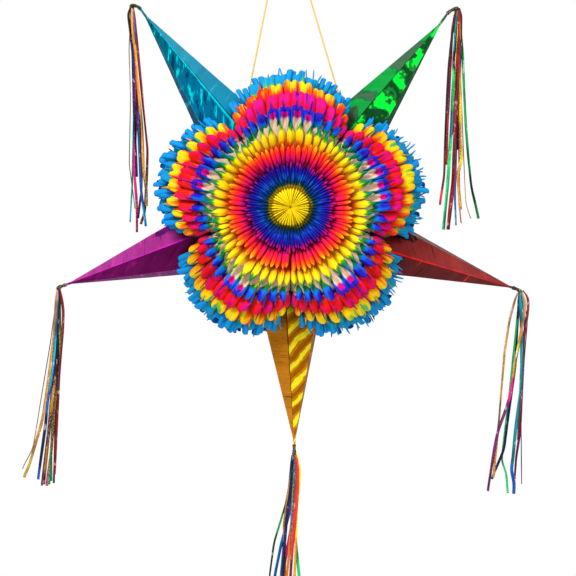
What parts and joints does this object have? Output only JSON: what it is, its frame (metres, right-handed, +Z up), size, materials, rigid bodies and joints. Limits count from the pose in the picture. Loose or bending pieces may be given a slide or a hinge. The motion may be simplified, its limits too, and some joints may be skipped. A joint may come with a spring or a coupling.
{
  "type": "star pinata",
  "caption": "Hanging star pinata: a scalloped rainbow tissue flower on a hollow card core, hexagonal foil cone points with streamers, a string loop and a filling door in the back.",
  "frame": {"origin": "inside top of the hanging loop, where a hook or rope bears", "axes": "+Z up along the hanging string, -Y out of the decorated front, +X to the viewer's right"},
  "size_m": [0.6792, 0.192, 1.0422],
  "materials": {
    "tissue": "dyed tissue paper in bands of blue, magenta, red, orange, yellow and green",
    "tissue_yellow": "dyed yellow tissue paper",
    "card": "matt dyed thin card",
    "cardboard": "plain kraft corrugated board",
    "string": "twisted golden-yellow string",
    "tie_tape": "dark metallised tape",
    "streamer_foil": "cut metallised and glitter film in mixed colours",
    "foil_teal": "teal metallised film on folded card",
    "foil_green": "green metallised film on folded card",
    "foil_magenta": "magenta metallised film on folded card",
    "foil_red": "red metallised film on folded card",
    "foil_gold": "gold metallised film on folded card"
  },
  "bodies": {
    "loop": {"hang_loop": "string"},
    "knot_wrap": {"knot_turn": "string"},
    "knot": {"knot_core": "string"},
    "bridle": {"string_left": "string", "string_right": "string", "stop_knot_left": "string", "stop_knot_right": "string"},
    "star": {"core_side_band": "cardboard", "core_front_panel": "cardboard", "core_back_panel": "cardboard", "front_rosette": "tissue_yellow", "cone_upper_left": "foil_teal", "seam_cards_upper_left": "card", "cone_upper_right": "foil_green", "seam_cards_upper_right": "card", "cone_lower_left": "foil_magenta", "seam_cards_lower_left": "card", "cone_lower_right": "foil_red", "seam_cards_lower_right": "card", "cone_bottom": "foil_gold", "seam_cards_bottom": "card", "front_lobe_top": "tissue", "back_lobe_top": "tissue", "front_lobe_right": "tissue", "back_lobe_right": "tissue", "front_lobe_lower_right": "tissue", "back_lobe_lower_right": "tissue", "front_lobe_lower_left": "tissue", "back_lobe_lower_left": "tissue", "front_lobe_left": "tissue", "back_lobe_left": "tissue"},
    "door": {"fill_door": "cardboard"},
    "tie_upper_left": {"tie_upper_left": "tie_tape"},
    "streamers_upper_left": {"streamers_upper_left": "streamer_foil"},
    "tie_upper_right": {"tie_upper_right": "tie_tape"},
    "streamers_upper_right": {"streamers_upper_right": "streamer_foil"},
    "tie_lower_left": {"tie_lower_left": "tie_tape"},
    "streamers_lower_left": {"streamers_lower_left": "streamer_foil"},
    "tie_lower_right": {"tie_lower_right": "tie_tape"},
    "streamers_lower_right": {"streamers_lower_right": "streamer_foil"},
    "tie_bottom": {"tie_bottom": "tie_tape"},
    "streamers_bottom": {"streamers_bottom": "streamer_foil"}
  },
  "joints": [
    {"name": "swing_sideways", "type": "hinge", "parent": "loop", "child": "knot_wrap", "pos_m": [0, 0, -0.03], "axis": [0, 1, 0], "range_deg": [-35, 35]},
    {"name": "swing_front_back", "type": "hinge", "parent": "knot_wrap", "child": "knot", "pos_m": [0, 0, -0.03], "axis": [1, 0, 0], "range_deg": [-35, 35]},
    {"name": "spin", "type": "hinge", "parent": "knot", "child": "bridle", "pos_m": [0, 0, -0.03], "axis": [0, 0, 1], "continuous": true},
    {"name": "nod", "type": "hinge", "parent": "bridle", "child": "star", "pos_m": [0.008, 0, -0.299], "axis": [1, 0, 0], "range_deg": [-12, 12]},
    {"name": "door_hinge", "type": "hinge", "parent": "star", "child": "door", "pos_m": [0.008, 0.058, -0.392], "axis": [1, 0, 0], "range_deg": [0, 110]},
    {"name": "upper_left_side_swing", "type": "hinge", "parent": "star", "child": "tie_upper_left", "pos_m": [-0.20567, 0, -0.15432], "axis": [0, 1, 0], "range_deg": [-1, 45]},
    {"name": "upper_left_front_swing", "type": "hinge", "parent": "tie_upper_left", "child": "streamers_upper_left", "pos_m": [-0.20567, 0, -0.15432], "axis": [1, 0, 0], "range_deg": [-30, 30]},
    {"name": "upper_right_side_swing", "type": "hinge", "parent": "star", "child": "tie_upper_right", "pos_m": [0.23152, 0, -0.15778], "axis": [0, 1, 0], "range_deg": [-45, 1]},
    {"name": "upper_right_front_swing", "type": "hinge", "parent": "tie_upper_right", "child": "streamers_upper_right", "pos_m": [0.23152, 0, -0.15778], "axis": [1, 0, 0], "range_deg": [-30, 30]},
    {"name": "lower_left_side_swing", "type": "hinge", "parent": "star", "child": "tie_lower_left", "pos_m": [-0.30302, 0, -0.53221], "axis": [0, 1, 0], "range_deg": [-40, 40]},
    {"name": "lower_left_front_swing", "type": "hinge", "parent": "tie_lower_left", "child": "streamers_lower_left", "pos_m": [-0.30302, 0, -0.53221], "axis": [1, 0, 0], "range_deg": [-40, 40]},
    {"name": "lower_right_side_swing", "type": "hinge", "parent": "star", "child": "tie_lower_right", "pos_m": [0.31557, 0, -0.53635], "axis": [0, 1, 0], "range_deg": [-40, 40]},
    {"name": "lower_right_front_swing", "type": "hinge", "parent": "tie_lower_right", "child": "streamers_lower_right", "pos_m": [0.31557, 0, -0.53635], "axis": [1, 0, 0], "range_deg": [-40, 40]},
    {"name": "bottom_side_swing", "type": "hinge", "parent": "star", "child": "tie_bottom", "pos_m": [0.013, 0, -0.754], "axis": [0, 1, 0], "range_deg": [-40, 40]},
    {"name": "bottom_front_swing", "type": "hinge", "parent": "tie_bottom", "child": "streamers_bottom", "pos_m": [0.013, 0, -0.754], "axis": [1, 0, 0], "range_deg": [-40, 40]}
  ]
}
